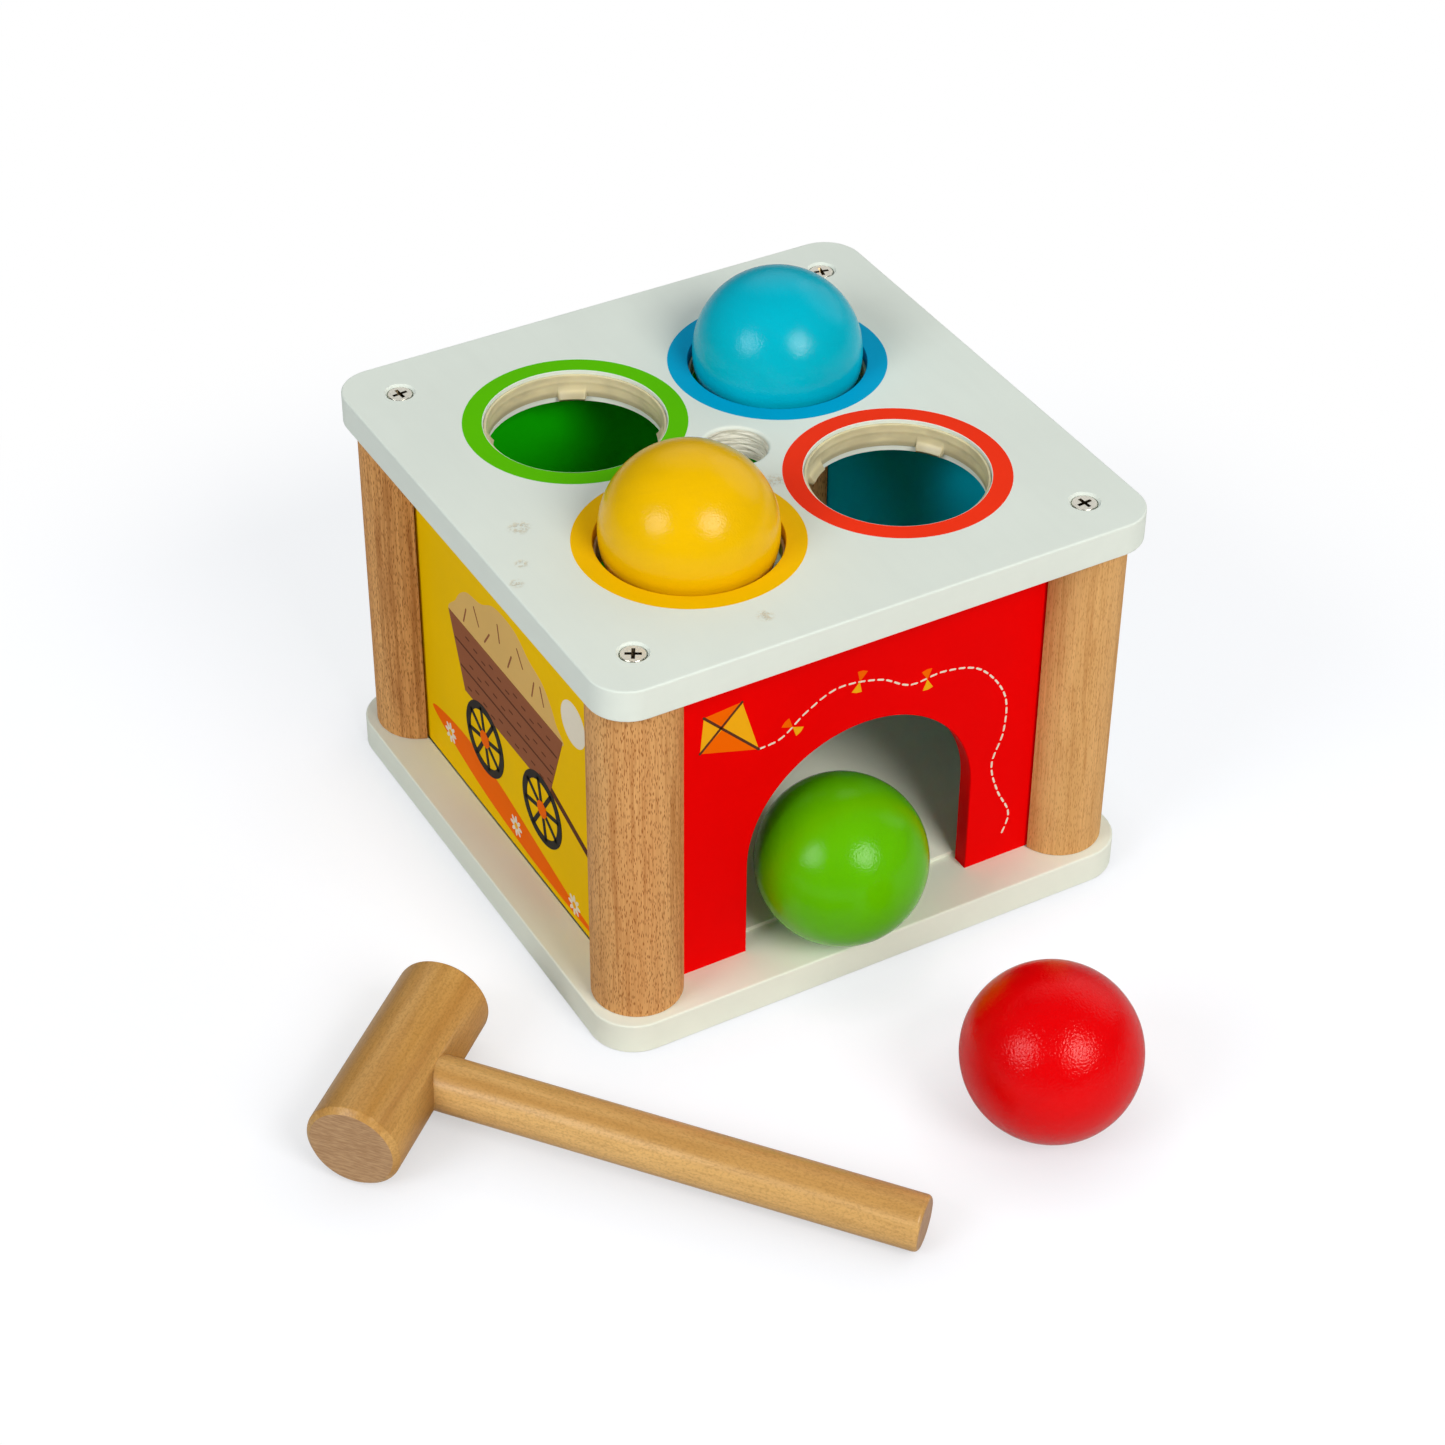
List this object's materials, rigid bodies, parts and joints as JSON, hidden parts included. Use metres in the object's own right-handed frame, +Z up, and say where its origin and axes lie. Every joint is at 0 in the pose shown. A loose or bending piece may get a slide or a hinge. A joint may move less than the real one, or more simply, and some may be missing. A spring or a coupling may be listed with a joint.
{
  "type": "ball pounding bench",
  "caption": "Wooden ball pounding bench: square top board with ball holes on round posts, coloured side panels, sloping ramp and arch, with loose balls and a mallet.",
  "frame": {"origin": "centre of the flat underside of the base board, the face that the bench stands on", "axes": "+Z up, square to the base's underside; -Y the way that the arch and its red panel face; +X to the right of someone who looks into the arch"},
  "size_m": [0.2371, 0.249, 0.1403],
  "materials": {
    "white_paint": "satin white paint on board",
    "beech": "smooth oiled beech with short dark flecks",
    "clear_lacquer": "clear satin lacquer on fine-grained wood",
    "red_paint": "satin red paint on board, with a printed pattern",
    "yellow_paint": "satin yellow paint on board, with a printed picture",
    "green_paint": "satin green paint on board",
    "blue_paint": "satin blue paint on board",
    "soft_plastic": "soft translucent cream plastic",
    "nickel": "nickel plated steel",
    "yellow_lacquer": "satin yellow lacquer on a turned ball",
    "red_lacquer": "satin red lacquer on a turned ball",
    "green_lacquer": "satin green lacquer on a turned ball",
    "blue_lacquer": "satin blue lacquer on a turned ball"
  },
  "bodies": {
    "bench": {"top_panel": "white_paint", "base_panel": "white_paint", "ramp": "white_paint", "ramp_wedge_left": "beech", "ramp_wedge_right": "beech", "post_front_left": "beech", "post_front_right": "beech", "post_back_left": "beech", "post_back_right": "beech", "front_panel": "red_paint", "left_panel": "yellow_paint", "back_panel": "green_paint", "right_panel": "blue_paint", "retainer_yellow": "soft_plastic", "retainer_red": "soft_plastic", "retainer_green": "soft_plastic", "retainer_blue": "soft_plastic", "top_screw_front_left": "nickel", "top_screw_front_right": "nickel", "top_screw_back_left": "nickel", "top_screw_back_right": "nickel", "base_screw_front_left": "nickel", "base_screw_front_right": "nickel", "base_screw_back_left": "nickel", "base_screw_back_right": "nickel"},
    "yellow_ball": {"ball_yellow": "yellow_lacquer"},
    "blue_ball": {"ball_blue": "blue_lacquer"},
    "green_ball": {"ball_green": "green_lacquer"},
    "red_ball": {"ball_red": "red_lacquer"},
    "mallet": {"mallet_head": "clear_lacquer", "mallet_handle": "clear_lacquer"}
  },
  "joints": [
    {"name": "yellow_ball_drop", "type": "slide", "parent": "bench", "child": "yellow_ball", "axis": [0, 0, 1], "range_m": [-0.0777, 0.03], "deforming": ["retainer_yellow"]},
    {"name": "blue_ball_drop", "type": "slide", "parent": "bench", "child": "blue_ball", "axis": [0, 0, 1], "range_m": [-0.0652, 0.03], "deforming": ["retainer_blue"]},
    {"name": "green_ball_roll", "type": "slide", "parent": "bench", "child": "green_ball", "axis": [0, 0.9787, 0.2055], "range_m": [0, 0.108]},
    {"name": "red_ball_roll", "type": "slide", "parent": "bench", "child": "red_ball", "axis": [0, -1, 0], "range_m": [-0.03, 0.1]},
    {"name": "mallet_lift", "type": "slide", "parent": "bench", "child": "mallet", "axis": [0, 0, 1], "range_m": [0, 0.15]}
  ]
}
